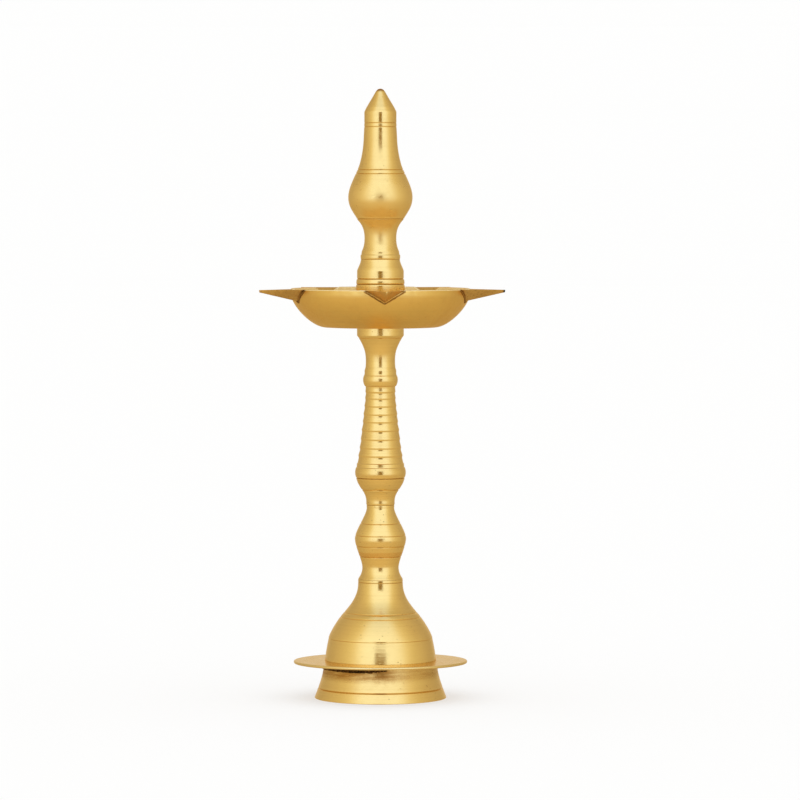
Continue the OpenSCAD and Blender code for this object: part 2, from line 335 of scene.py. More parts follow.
def close_mesh(threshold=2e-6):
    """Merges the doubles of the mesh in edit mode, turns its faces out and leaves edit mode."""
    bpy.ops.mesh.select_all(action="SELECT")
    bpy.ops.mesh.remove_doubles(threshold=threshold)
    bpy.ops.mesh.normals_make_consistent(inside=False)
    edit_off()


def apply_modifiers(obj):
    choose(obj)
    for m in list(obj.modifiers):
        bpy.ops.object.modifier_apply(modifier=m.name)


def smooth(obj, angle=35):
    choose(obj)
    bpy.ops.object.shade_smooth_by_angle(angle=math.radians(angle))


def bevel(obj, width, segments=2, angle=24):
    m = obj.modifiers.new("Soft edges", "BEVEL")
    m.width = width
    m.segments = segments
    m.limit_method = "ANGLE"
    m.angle_limit = math.radians(angle)
    apply_modifiers(obj)


def place(obj):
    """Puts a piece's place into its mesh, so that its object sits at the origin."""
    choose(obj)
    bpy.ops.object.transform_apply(location=True, rotation=True, scale=True)


def drawn_line(name, points):
    """A line of edges, drawn by extruding one vertex from point to point; leaves edit mode on."""
    deselect_all()
    bpy.ops.mesh.primitive_plane_add(size=MM)
    obj = bpy.context.object
    obj.name = name
    obj.data.name = name
    edit_on(obj)
    bpy.ops.mesh.select_all(action="SELECT")
    bpy.ops.mesh.merge(type="CENTER")
    bpy.ops.transform.translate(value=points[0])
    for a, b in zip(points, points[1:]):
        step = tuple(q - p for p, q in zip(a, b))
        bpy.ops.mesh.extrude_region_move(TRANSFORM_OT_translate={"value": step})
    return obj


def turned(name, outline, ring=False, steps=TURN_STEPS, edge=0.1):
    """Turned solid from (radius, height) points in mm; ring closes the outline off the axis."""
    points = [(r * MM, 0.0, z * MM) for r, z in supported(outline)]
    if ring:
        points.append(points[0])
    obj = drawn_line(name, points)
    bpy.ops.mesh.select_all(action="SELECT")
    bpy.ops.mesh.spin(steps=steps, angle=math.tau, center=(0, 0, 0), axis=(0, 0, 1))
    close_mesh()
    if edge:
        bevel(obj, edge * MM)
    smooth(obj)
    return obj


def vee_solid(name, start, end):
    """Solid V along X between two stations: x, half width, height of keel and of top, in mm."""
    apart = 10.0
    deselect_all()
    bpy.ops.mesh.primitive_cube_add(size=1.0, location=(0, 0, 0))
    obj = bpy.context.object
    obj.name = name
    obj.data.name = name
    edit_on(obj)
    for side, (_, w, k, t) in ((-1, start), (1, end)):
        select_where(obj, lambda co: co.x * side > 0.4 and abs(co.x) < 0.6)
        bpy.ops.transform.resize(value=(1, 2 * w, t - k), center_override=(0, 0, 0))
        bpy.ops.transform.translate(value=(side * apart, 0, (t + k) / 2))
    for side, (x, _, k, t) in ((1, end), (-1, start)):
        select_where(obj, lambda co: co.x * side > 0 and co.z < (t + k) / 2)
        bpy.ops.transform.resize(value=(1, 0, 1), center_override=(0, 0, 0))
        select_where(obj, lambda co: co.x * side > 0)
        bpy.ops.transform.translate(value=(x - side * (apart + 0.5), 0, 0))
    bpy.ops.mesh.select_all(action="SELECT")
    bpy.ops.transform.resize(value=(MM, MM, MM), center_override=(0, 0, 0))
    close_mesh(1e-6)
    return obj


def cut(obj, tool):
    """Takes the tool's shape out of the piece, and throws the tool away."""
    m = obj.modifiers.new("Cut", "BOOLEAN")
    m.operation = "DIFFERENCE"
    m.object = tool
    m.solver = "EXACT"
    apply_modifiers(obj)
    bpy.data.objects.remove(tool)


def beak_angle(k):
    """Angle of a beak or notch about the axis; the first one faces the front."""
    return math.radians(-90 + k * 360 / BEAKS)


def turned_about_z(obj, angle):
    obj.rotation_euler = (0, 0, angle)
    place(obj)
    return obj


def copied(obj, name):
    new = obj.copy()
    new.data = obj.data.copy()
    new.name = name
    new.data.name = name
    bpy.context.scene.collection.objects.link(new)
    return new


def merged(obj, threshold=2e-6):
    edit_on(obj)
    close_mesh(threshold)


def fitted(obj, body, finish, node):
    """Gives a piece its finish, its body and the CAD node that it stands for."""
    obj.data.materials.clear()
    obj.data.materials.append(bpy.data.materials[finish])
    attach(obj, body)
    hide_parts(node)
    return obj


# ---------------------------------------------------------------- shader groups

def feed(tree, socket, value):
    """Links another node's output to a socket, or sets the socket to a constant."""
    if hasattr(value, "is_output"):
        tree.links.new(value, socket)
    else:
        socket.default_value = value


def maths(tree, operation, a, b=None, clamp=False):
    n = tree.nodes.new("ShaderNodeMath")
    n.operation = operation
    n.use_clamp = clamp
    feed(tree, n.inputs[0], a)
    if b is not None:
        feed(tree, n.inputs[1], b)
    return n.outputs[0]


def mixed(tree, factor, a, b):
    """Colour a, which turns into colour b as the factor rises to 1."""
    n = tree.nodes.new("ShaderNodeMix")
    n.data_type = "RGBA"
    for key, value in (("Factor", factor), ("A", a), ("B", b)):
        feed(tree, n.inputs[key], value)
    return n.outputs["Result"]


def axes(tree, vector):
    n = tree.nodes.new("ShaderNodeSeparateXYZ")
    tree.links.new(vector, n.inputs[0])
    return n.outputs


def mapped(tree, value, a, b, c=0.0, d=1.0):
    """Runs smoothly from c to d while the value runs from a to b."""
    n = tree.nodes.new("ShaderNodeMapRange")
    n.interpolation_type = "SMOOTHSTEP"
    for i, v in enumerate((a, b, c, d), 1):
        n.inputs[i].default_value = v
    tree.links.new(value, n.inputs[0])
    return n.outputs[0]


def part_of_peak(light):
    return (*(v / PEAK for v in light), 1)


def ramp(tree, value, stops):
    """A smooth run of colour through (place, colour) stops."""
    n = tree.nodes.new("ShaderNodeValToRGB")
    n.color_ramp.interpolation = "B_SPLINE"
    for i, (place_at, level) in enumerate(stops):
        e = n.color_ramp.elements[i] if i < 2 else n.color_ramp.elements.new(place_at)
        e.position = place_at
        e.color = part_of_peak(level)
    tree.links.new(value, n.inputs[0])
    return n.outputs[0]


def new_group(name, inputs, outputs):
    g = bpy.data.node_groups.new(name, "ShaderNodeTree")
    for label, kind, default in inputs:
        s = g.interface.new_socket(label, in_out="INPUT", socket_type=kind)
        if default is not None:
            s.default_value = default
    for label, kind in outputs:
        g.interface.new_socket(label, in_out="OUTPUT", socket_type=kind)
    return g, g.nodes.new("NodeGroupInput"), g.nodes.new("NodeGroupOutput")


def noise(tree, vector, scale, detail=2.0, roughness=0.5, dims="3D", distortion=0.0):
    n = tree.nodes.new("ShaderNodeTexNoise")
    n.noise_dimensions = dims
    n.inputs["Scale"].default_value = scale
    n.inputs["Detail"].default_value = detail
    n.inputs["Roughness"].default_value = roughness
    n.inputs["Distortion"].default_value = distortion
    tree.links.new(vector, n.inputs["Vector"])
    return n.outputs["Fac"]


def turning_lines_group():
    """Rings left by the lathe tool: fine lines, and now and then a deeper one."""
    g, gi, go = new_group("Turning lines", [("Vector", "NodeSocketVector", None)],
                          [("Height", "NodeSocketFloat"), ("Streak", "NodeSocketFloat")])
    x, y, z = axes(g, gi.outputs["Vector"])
    r = maths(g, "SQRT", maths(g, "ADD", maths(g, "POWER", x, 2.0), maths(g, "POWER", y, 2.0)))
    flat = g.nodes.new("ShaderNodeCombineXYZ")
    g.links.new(r, flat.inputs[0])
    g.links.new(z, flat.inputs[1])
    wander = noise(g, gi.outputs["Vector"], 60.0, 2.0)
    fine = noise(g, flat.outputs[0], 5200.0, 3.0, 0.7, "2D")
    wide = noise(g, flat.outputs[0], 700.0, 3.0, 0.6, "2D")
    deep = mapped(g, noise(g, flat.outputs[0], 1500.0, 1.0, 0.5, "2D"), 0.7, 0.78, 0.0, -1.0)
    fade = mapped(g, wander, 0.35, 0.65, 0.35, 1.0)
    h = maths(g, "ADD", maths(g, "MULTIPLY", fine, 0.05), maths(g, "MULTIPLY", wide, 1.7))
    h = maths(g, "ADD", maths(g, "MULTIPLY", h, fade), maths(g, "MULTIPLY", deep, 0.5))
    g.links.new(h, go.inputs["Height"])
    g.links.new(wide, go.inputs["Streak"])


def tarnish_group():
    """Uneven polish: soft clouds, small stains and a brown tint that gathers in patches."""
    g, gi, go = new_group("Tarnish", [("Vector", "NodeSocketVector", None),
                                      ("Clean", "NodeSocketColor", (0.8, 0.55, 0.2, 1)),
                                      ("Stained", "NodeSocketColor", (0.5, 0.25, 0.08, 1)),
                                      ("Amount", "NodeSocketFloat", 0.3)],
                          [("Color", "NodeSocketColor"), ("Mask", "NodeSocketFloat")])
    v = gi.outputs["Vector"]
    cloud = mapped(g, noise(g, v, 28.0, 4.0, 0.6, distortion=0.6), 0.42, 0.72)
    small = mapped(g, noise(g, v, 190.0, 5.0, 0.65), 0.5, 0.78)
    mask = maths(g, "MULTIPLY", maths(g, "ADD", maths(g, "MULTIPLY", cloud, 0.6),
                                      maths(g, "MULTIPLY", small, 0.5)),
                 gi.outputs["Amount"], clamp=True)
    g.links.new(mixed(g, mask, gi.outputs["Clean"], gi.outputs["Stained"]), go.inputs["Color"])
    g.links.new(mask, go.inputs["Mask"])


def pits_group():
    """Small casting pits, in loose patches."""
    g, gi, go = new_group("Casting pits", [("Vector", "NodeSocketVector", None),
                                           ("Amount", "NodeSocketFloat", 0.5),
                                           ("Spread", "NodeSocketFloat", 0.0)],
                          [("Height", "NodeSocketFloat"), ("Mask", "NodeSocketFloat")])
    v = gi.outputs["Vector"]
    cells = g.nodes.new("ShaderNodeTexVoronoi")
    cells.inputs["Scale"].default_value = 620.0
    g.links.new(v, cells.inputs["Vector"])
    colour = g.nodes.new("ShaderNodeSeparateColor")
    g.links.new(cells.outputs["Color"], colour.inputs[0])
    patch = mapped(g, maths(g, "ADD", noise(g, v, 55.0, 2.0), gi.outputs["Spread"]), 0.52, 0.6)
    chosen = mapped(g, colour.outputs[0], 0.72, 0.74)
    hole = mapped(g, cells.outputs["Distance"], 0.12, 0.24, 1.0, 0.0)
    mask = maths(g, "MULTIPLY", maths(g, "MULTIPLY", chosen, patch), hole)
    mask = maths(g, "MULTIPLY", mask, gi.outputs["Amount"], clamp=True)
    g.links.new(mask, go.inputs["Mask"])
    g.links.new(maths(g, "MULTIPLY", mask, -1.0), go.inputs["Height"])


def crevice_residue_and_shade_group():
    """Polish residue and painted shade in grooves and corners, found by ambient occlusion."""
    g, gi, go = new_group("Crevice residue", [("Reach", "NodeSocketFloat", 0.001),
                                              ("Amount", "NodeSocketFloat", 1.0)],
                          [("Mask", "NodeSocketFloat")])
    ao = g.nodes.new("ShaderNodeAmbientOcclusion")
    ao.samples = 8
    g.links.new(gi.outputs["Reach"], ao.inputs["Distance"])
    mask = mapped(g, ao.outputs["AO"], 0.35, 0.85, 1.0, 0.0)
    g.links.new(maths(g, "MULTIPLY", mask, gi.outputs["Amount"], clamp=True), go.inputs["Mask"])


def stain_and_shade_band_group():
    """A streaky band of colour between two heights, for stains and for painted shade, which fades
    towards +X by the amount of Lean.
    """
    labels = ("Low", "High", "Soft", "Lean", "Amount")
    g, gi, go = new_group("Stained band", [("Vector", "NodeSocketVector", None)] + [
        (label, "NodeSocketFloat", 0.0) for label in labels], [("Mask", "NodeSocketFloat")])
    low, high, soft, lean, amount = (gi.outputs[label] for label in labels)
    x, _, z = axes(g, gi.outputs["Vector"])
    edges = []
    for edge in (low, high):
        away = maths(g, "DIVIDE", maths(g, "SUBTRACT", z, edge), soft)
        edges.append(mapped(g, away, -1.0, 1.0))
    inside = maths(g, "MULTIPLY", edges[0], maths(g, "SUBTRACT", 1.0, edges[1]))
    stretch = g.nodes.new("ShaderNodeMapping")
    stretch.inputs["Scale"].default_value = (1, 1, 9)
    g.links.new(gi.outputs["Vector"], stretch.inputs["Vector"])
    streak = mapped(g, noise(g, stretch.outputs[0], 75.0, 4.0, 0.65), 0.3, 0.62, 0.5, 1.0)
    side = maths(g, "SUBTRACT", 1.0, maths(g, "MULTIPLY", lean, mapped(g, x, 0.0, 0.011)))
    mask = maths(g, "MULTIPLY", maths(g, "MULTIPLY", inside, streak), side)
    g.links.new(maths(g, "MULTIPLY", mask, amount, clamp=True), go.inputs["Mask"])


def group_node(tree, name, **values):
    n = tree.nodes.new("ShaderNodeGroup")
    n.node_tree = bpy.data.node_groups[name]
    for key, value in values.items():
        feed(tree, n.inputs[key], value)
    return n


def brass(name, clean, stained, rough, tarnish, lines, pits, residue_and_shade=0.8, grain=0.0, spread=0.0,
          bands=(), soot=None):
    """Procedural brass: lathe rings, uneven polish, pits, and residue with painted shade in
    grooves;
    bands are (low, high, soft, lean, amount, colour), and soot is the place on X where it starts."""
    m = bpy.data.materials.new(name)
    m.use_nodes = True
    t = m.node_tree
    bsdf = t.nodes["Principled BSDF"]
    bsdf.inputs["Metallic"].default_value = 1.0
    bsdf.inputs["Specular Tint"].default_value = (1.0, 0.88, 0.66, 1)
    co = t.nodes.new("ShaderNodeTexCoord").outputs["Object"]
    ring = group_node(t, "Turning lines", Vector=co)
    stain = group_node(t, "Tarnish", Vector=co, Clean=clean, Stained=stained, Amount=tarnish)
    pit = group_node(t, "Casting pits", Vector=co, Amount=pits, Spread=spread)
    residue_and_shade_mask = group_node(t, "Crevice residue", Reach=0.0006, Amount=residue_and_shade)
    layers = [(mapped(t, ring.outputs["Streak"], 0.45, 0.7, 0.0, lines), stained)]
    for low, high, soft, lean, amount, tint in bands:
        band = group_node(t, "Stained band", Vector=co, Low=low, High=high, Soft=soft,
                          Lean=lean, Amount=amount)
        layers.append((band.outputs["Mask"], tint))
    if grain:
        rough_noise = noise(t, co, 900.0, 5.0, 0.7, distortion=0.4)
        layers.append((mapped(t, rough_noise, 0.5, 0.66, 0.0, 0.6), stained))
    if soot:
        layers.append((mapped(t, axes(t, co)[0], soot, soot + SOOT_FADE), SOOT))
    colour = stain.outputs["Color"]
    for mask, tint in layers:
        colour = mixed(t, mask, colour, tint)
    # ambient occlusion paints shade and residue into grooves and corners; pits darken too
    dark = maths(t, "MAXIMUM", residue_and_shade_mask.outputs["Mask"],
                 maths(t, "MULTIPLY", pit.outputs["Mask"], 0.6))
    t.links.new(mixed(t, dark, colour, RESIDUE_AND_SHADE), bsdf.inputs["Base Color"])
    wear = noise(t, co, 320.0, 4.0, 0.6)
    r = maths(t, "ADD", mapped(t, wear, 0.3, 0.7, rough * 0.75, rough * 1.3),
              maths(t, "MULTIPLY", stain.outputs["Mask"], 0.14))
    r = maths(t, "ADD", r, maths(t, "MULTIPLY", residue_and_shade_mask.outputs["Mask"], 0.25), clamp=True)
    for mask, _ in layers[1:]:
        r = maths(t, "ADD", r, maths(t, "MULTIPLY", mask, 0.15), clamp=True)
    t.links.new(r, bsdf.inputs["Roughness"])
    height = maths(t, "MULTIPLY", ring.outputs["Height"], lines)
    height = maths(t, "ADD", height, maths(t, "MULTIPLY", pit.outputs["Height"], 0.6))
    if grain:
        height = maths(t, "ADD", height, maths(t, "MULTIPLY", rough_noise, grain))
    bump = t.nodes.new("ShaderNodeBump")
    bump.inputs["Strength"].default_value = 1.0
    bump.inputs["Distance"].default_value = 0.1 * MM
    t.links.new(height, bump.inputs["Height"])
    t.links.new(bump.outputs["Normal"], bsdf.inputs["Normal"])
    return m


# ---------------------------------------------------------------- properties

class LampSizes(bpy.types.PropertyGroup):
    stud_radius: bpy.props.FloatProperty(
        name="Stud radius", description="Radius of every screwed stud",
        default=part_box("knop_stud")[1].x, unit="LENGTH", precision=4)
    stud_up: bpy.props.FloatProperty(
        name="Stud above", description="Length of a stud in the piece above its joint",
        default=0.008, unit="LENGTH", precision=4)
    stud_down: bpy.props.FloatProperty(
        name="Stud below", description="Length of a stud in the piece below its joint",
        default=0.010, unit="LENGTH", precision=4)
    thread_pitch: bpy.props.FloatProperty(
        name="Thread pitch", description="Rise of the thread in one turn",
        default=0.002, unit="LENGTH", precision=4)
    beak_reach: bpy.props.FloatProperty(
        name="Beak reach", description="Distance from the axis to a beak's tip",
        default=-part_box("beak_1")[0].y, unit="LENGTH", precision=4)
    beak_width: bpy.props.FloatProperty(
        name="Beak width", description="Width of a beak where it meets the bowl",
        default=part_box("beak_1")[1].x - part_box("beak_1")[0].x, unit="LENGTH", precision=4)


class LampFinishes(bpy.types.PropertyGroup):
    polished: bpy.props.FloatVectorProperty(
        name="Polished brass", description="Colour of the clean turned brass",
        default=(0.90, 0.62, 0.215, 1.0), size=4, min=0, max=1, subtype="COLOR")
    satin: bpy.props.FloatVectorProperty(
        name="Satin brass", description="Colour of the bowl",
        default=(0.86, 0.55, 0.15, 1.0), size=4, min=0, max=1, subtype="COLOR")
    filed: bpy.props.FloatVectorProperty(
        name="Filed brass", description="Colour of the beaks",
        default=(0.80, 0.50, 0.15, 1.0), size=4, min=0, max=1, subtype="COLOR")
    stain: bpy.props.FloatVectorProperty(
        name="Stain", description="Colour of tarnished patches",
        default=(0.66, 0.38, 0.11, 1.0), size=4, min=0, max=1, subtype="COLOR")


class LampStage(bpy.types.PropertyGroup):
    distance: bpy.props.FloatProperty(
        name="Camera distance", description="Distance from the lamp to the camera",
        default=2.5, unit="LENGTH")
    turn: bpy.props.FloatProperty(
        name="Camera turn", description="Angle round the lamp from the front beak to the camera",
        default=math.radians(3.0), subtype="ANGLE")
    lens: bpy.props.FloatProperty(
        name="Lens", description="Focal length of the camera", default=207.8, unit="CAMERA")
    brightness: bpy.props.FloatProperty(
        name="Brightness", description="Brightness of the studio tent", default=1.3, min=0)


# ---------------------------------------------------------------- operators

class LAMP_OT_finishes(bpy.types.Operator):
    """Makes the brass finishes."""
    bl_idname = "lamp.finishes"
    bl_label = "Finishes"

    def execute(self, context):
        f = context.scene.lamp_finishes
        turning_lines_group()
        tarnish_group()
        pits_group()
        crevice_residue_and_shade_group()
        stain_and_shade_band_group()
        clean, satin, filed, stain = (tuple(c) for c in (f.polished, f.satin, f.filed, f.stain))
        painted_under_tray_shade, orange, tip = (0.44, 0.21, 0.045, 1), (0.74, 0.36, 0.07, 1), (0.35, 0.12, 0.03, 1)
        turned_finish = {"rough": 0.18, "tarnish": 0.26, "lines": 0.12, "pits": 0.8,
                         "residue_and_shade": 0.5}
        brass("Turned brass", clean, stain, **turned_finish)
        # the foot's first band is painted shade under the tray, streaky and weaker towards +X
        brass("Foot brass", clean, stain, bands=(
            (0.0122, 0.0225, 0.0024, 0.45, 1.0, painted_under_tray_shade),
            (0.0048, 0.0056, 0.0007, 0.2, 0.35, orange)), **turned_finish)
        brass("Knop brass", clean, stain, bands=((0.0768, 0.0795, 0.0005, 0.0, 0.6, orange),),
              **turned_finish)
        turned_finish.update(rough=0.2, lines=0.08, pits=0.6)
        brass("Spire brass", clean, stain, bands=(
            (0.3290, 0.3400, 0.0007, 0.0, 0.9, tip),
            (0.2460, 0.2780, 0.0040, 0.0, 1.3, clean)), **turned_finish)
        brass("Tray brass", (0.87, 0.64, 0.27, 1), stain, 0.22, tarnish=0.14, lines=0.05,
              pits=0.1, residue_and_shade=0.0)
        brass("Bowl brass", satin, stain, 0.38, tarnish=0.45, lines=0.08, pits=0.3)
        lining = brass("Lining brass", (0.94, 0.78, 0.44, 1), clean, 0.5, tarnish=0.5,
                       lines=0.05, pits=0.3, residue_and_shade=0.2)
        lining.node_tree.nodes["Principled BSDF"].inputs["Metallic"].default_value = 0.5
        brass("Beak brass", filed, BEAK_STAIN, 0.34, tarnish=0.5, lines=0.0, pits=1.0, grain=1.1,
              spread=0.12, soot=0.0645)
        brass("Thread brass", satin, stain, 0.3, tarnish=0.6, lines=0.1, pits=0.2)
        brass("Braze", (0.52, 0.26, 0.06, 1), (0.10, 0.04, 0.010, 1), 0.40, tarnish=1.2,
              lines=0.0, pits=1.0, residue_and_shade=0.4, grain=1.0)
        brass("Tray crust", (0.34, 0.17, 0.045, 1), (0.05, 0.02, 0.008, 1), 0.55, tarnish=1.7,
              lines=0.0, pits=1.0, residue_and_shade=1.0, grain=2.0)
        return {"FINISHED"}


class LAMP_OT_foot(bpy.types.Operator):
    """Turns the foot, the tray and the bell, and runs the braze under the tray."""
    bl_idname = "lamp.foot"
    bl_label = "Foot, tray and bell"

    def execute(self, context):
        s = context.scene.lamp_sizes
        fitted(turned("foot_ring", foot_outline(), ring=True),
               "base", "Foot brass", "foot_skirt")
        tray = turned("tray_ring", tray_outline(), ring=True, edge=0)
        tray.rotation_euler = (math.radians(-0.8), 0, 0)
        place(tray)
        fitted(tray, "base", "Tray brass", "drip_tray")
        fitted(turned("bell_shell", bell_outline(s), ring=True),
               "base", "Turned brass", "bell")
        section = [(30.9, 16.7), (31.4, 16.8), (31.9, 17.2), (32.5, 17.9), (33.1, 18.4),
                   (33.6, 18.95), (30.9, 18.95)]
        bead = turned("tray_seam", section, ring=True, steps=260, edge=0)
        edit_on(bead)
        bpy.ops.mesh.select_all(action="SELECT")
        bpy.ops.mesh.subdivide(number_cuts=2)
        # the bead grows thinner, step by step, towards +X
        for near in range(-6, 8, 2):
            select_where(bead, lambda co: co.x > near * MM)
            bpy.ops.transform.resize(value=(0.996, 0.996, 1), center_override=(0, 0, 0))
            bpy.ops.transform.resize(value=(1, 1, 0.87), center_override=(0, 0, 19.0 * MM))
        # and it is lumpy on its free side, from -X to the middle
        select_where(bead, lambda co: math.hypot(co.x, co.y) > 31.2 * MM and co.z < 18.8 * MM
                     and co.x < 2 * MM)
        bpy.ops.transform.vertex_random(offset=0.9 * MM, uniform=0.8, normal=0.2, seed=5)
        edit_off()
        smooth(bead, 60)
        fitted(bead, "base", "Tray crust", "tray_braze")
        return {"FINISHED"}


class LAMP_OT_stem(bpy.types.Operator):
    """Turns the knop and the ribbed column."""
    bl_idname = "lamp.stem"
    bl_label = "Stem"

    def execute(self, context):
        s = context.scene.lamp_sizes
        fitted(turned("stem_knop", knop_outline(s)), "knop", "Knop brass", "knop")
        fitted(turned("stem_column", column_outline(s)), "column", "Turned brass",
               "column")
        return {"FINISHED"}


def beak_stations(s):
    """A beak's reach, its half width and the place of its root, in mm."""
    reach, half = s.beak_reach / MM, s.beak_width / MM / 2
    root = math.sqrt(BOWL_RADIUS ** 2 - half ** 2)
    return reach, half, root


def beak_cutter(name, s):
    """Solid that fills a beak's trough, which runs out at the top before the tip."""
    _, half, root = beak_stations(s)
    w, k = half - 2.5, BEAK_KEEL + 1.5
    side, rise = w / (BEAK_TOP - k), TIP_TOP - k
    ends = []
    for x in (root - ROOT_OVERRUN - 1.0, root + TROUGH_RUN + 1.0):
        keel = k + rise * (x - root) / TROUGH_RUN
        ends.append((x, (CUTTER_TOP - keel) * side, keel, CUTTER_TOP))
    return vee_solid(name, *ends)


class LAMP_OT_bowl(bpy.types.Operator):
    """Turns the bowl and cuts a notch for each beak."""
    bl_idname = "lamp.bowl"
    bl_label = "Bowl"

    def execute(self, context):
        bowl = turned("bowl_shell", bowl_outline(), ring=True, steps=BOWL_STEPS, edge=0)
        for k in range(BEAKS):
            tool = vee_solid("notch", (40.0, *NOTCH), (53.0, *NOTCH))
            cut(bowl, turned_about_z(tool, beak_angle(k)))
        merged(bowl)
        smooth(bowl)
        fitted(bowl, "bowl", "Bowl brass", "oil_bowl")
        # the inside is paler, so its faces take a second finish
        bowl.data.materials.append(bpy.data.materials["Lining brass"])
        for face in bowl.data.polygons:
            c, n = face.center, face.normal
            inward = n.x * c.x + n.y * c.y < -0.3 * math.hypot(c.x, c.y)
            if c.z < (BEAK_TOP + 0.1) * MM and (n.z > 0.3 or inward):
                face.material_index = 1
        return {"FINISHED"}


class LAMP_OT_beaks(bpy.types.Operator):
    """Makes the five wick beaks and the brazed seams that hold them."""
    bl_idname = "lamp.beaks"
    bl_label = "Beaks"

    def execute(self, context):
        s = context.scene.lamp_sizes
        reach, half, root = beak_stations(s)
        grow = 1 + ROOT_OVERRUN / (reach - root)
        drop = TIP_KEEL - BEAK_KEEL
        model = vee_solid("beak", (root - ROOT_OVERRUN, TIP_HALF + (half - TIP_HALF) * grow,
                                   TIP_KEEL - drop * grow, BEAK_TOP),
                          (reach, TIP_HALF, TIP_KEEL, TIP_TOP))
        cut(model, beak_cutter("trough", s))
        edit_on(model)
        bpy.ops.mesh.select_all(action="SELECT")
        bpy.ops.mesh.subdivide(number_cuts=2)
        edit_off()
        envelope = [(0.0, COLUMN_TOP), (BOWL_FLAT, COLUMN_TOP)] + bowl_curve()
        envelope += [(BOWL_RADIUS, ABOVE_RIM), (0.0, ABOVE_RIM)]
        cut(model, turned("envelope", envelope, steps=BOWL_STEPS, edge=0))
        merged(model, 2e-5)
        bevel(model, 0.28 * MM, 3, 20)
        smooth(model, 40)
        for k in range(BEAKS):
            beak = turned_about_z(copied(model, f"wick_beak_{k + 1}"), beak_angle(k))
            fitted(beak, "bowl", "Beak brass", f"beak_{k + 1}")
            seam = turned_about_z(self.seam(k, half), beak_angle(k))
            fitted(seam, "bowl", "Braze", f"beak_braze_{k + 1}")
        bpy.data.objects.remove(model)
        return {"FINISHED"}

    def seam(self, k, half):
        """A lumpy bead along the V where a beak meets the bowl."""
        wall = bowl_curve() + [(BOWL_RADIUS, ABOVE_RIM)]
        spread, drop, steps_a_side = half + 0.5, 6.9, 15
        points = []
        for i in range(-steps_a_side, steps_a_side + 1):
            y = spread * i / steps_a_side
            z = BEAK_TOP - drop * (1 - abs(y) / spread) - 0.5
            r = radius_at(wall, z)
            points.append((math.sqrt(r * r - y * y) + 0.15, y, z))
        deselect_all()
        bpy.ops.curve.primitive_bezier_curve_add()
        obj = bpy.context.object
        obj.name = f"beak_seam_{k + 1}"
        c = obj.data
        c.splines.clear()
        line = c.splines.new("POLY")
        line.points.add(len(points) - 1)
        for p, (x, y, z) in zip(line.points, points):
            p.co = (x * MM, y * MM, z * MM, 1)
        c.dimensions = "3D"
        c.bevel_depth = 0.38 * MM
        c.bevel_resolution = 3
        c.use_fill_caps = True
        bpy.ops.object.convert(target="MESH")
        obj = bpy.context.object
        obj.data.name = obj.name
        merged(obj)
        edit_on(obj)
        bpy.ops.mesh.select_all(action="SELECT")
        bpy.ops.transform.vertex_random(offset=0.16 * MM, uniform=0.5, normal=0.5, seed=11 + k)
        edit_off()
        m = obj.modifiers.new("Soften", "SUBSURF")
        m.levels = m.render_levels = 1
        apply_modifiers(obj)
        smooth(obj, 70)
        return obj


class LAMP_OT_top(bpy.types.Operator):
    """Turns the collar and the spire."""
    bl_idname = "lamp.top"
    bl_label = "Collar and spire"

    def execute(self, context):
        s = context.scene.lamp_sizes
        fitted(turned("top_collar", collar_outline(s)), "collar", "Turned brass",
               "collar")
        fitted(turned("top_spire", spire_outline(s)), "spire", "Spire brass", "spire")
        return {"FINISHED"}


class LAMP_OT_studs(bpy.types.Operator):
    """Cuts the threaded studs that join the turned pieces."""
    bl_idname = "lamp.studs"
    bl_label = "Studs"

    def execute(self, context):
        s = context.scene.lamp_sizes
        for name in ("knop", "column", "collar", "spire"):
            low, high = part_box(f"{name}_stud")
            stud = self.threaded(f"{name}_thread", s, low.z, high.z)
            fitted(stud, f"{name}_screw", "Thread brass", f"{name}_stud")
        return {"FINISHED"}

    def threaded(self, name, s, low, high):
        """A threaded rod from low to high: one tooth, screwed up the rod and cut off flat."""
        r, p = s.stud_radius, s.thread_pitch
        root, shoulder, start = r - 0.55 * p, r - 0.03 * p, low - 2 * p
        tooth = [(root, 0.0), (shoulder, 0.42), (r, 0.46), (r, 0.54), (shoulder, 0.58), (root, 1.0)]
        obj = drawn_line(name, [(x, 0.0, start + turn * p) for x, turn in tooth])
        edit_off()
        m = obj.modifiers.new("Thread", "SCREW")
        m.angle = math.tau
        m.screw_offset = p
        m.iterations = math.ceil((high - low) / p) + 4
        m.steps = m.render_steps = 48
        m.use_merge_vertices = True
        m.merge_threshold = 1e-6
        apply_modifiers(obj)
        edit_on(obj)
        bpy.ops.mesh.select_all(action="SELECT")
        bpy.ops.mesh.remove_doubles(threshold=1e-6)
        for z, way in ((high, 1), (low, -1)):
            bpy.ops.mesh.bisect(plane_co=(0, 0, z), plane_no=(0, 0, way), use_fill=True,
                                clear_outer=True)
            bpy.ops.mesh.select_all(action="SELECT")
        bpy.ops.mesh.normals_make_consistent(inside=False)
        edit_off()
        smooth(obj, 30)
        return obj


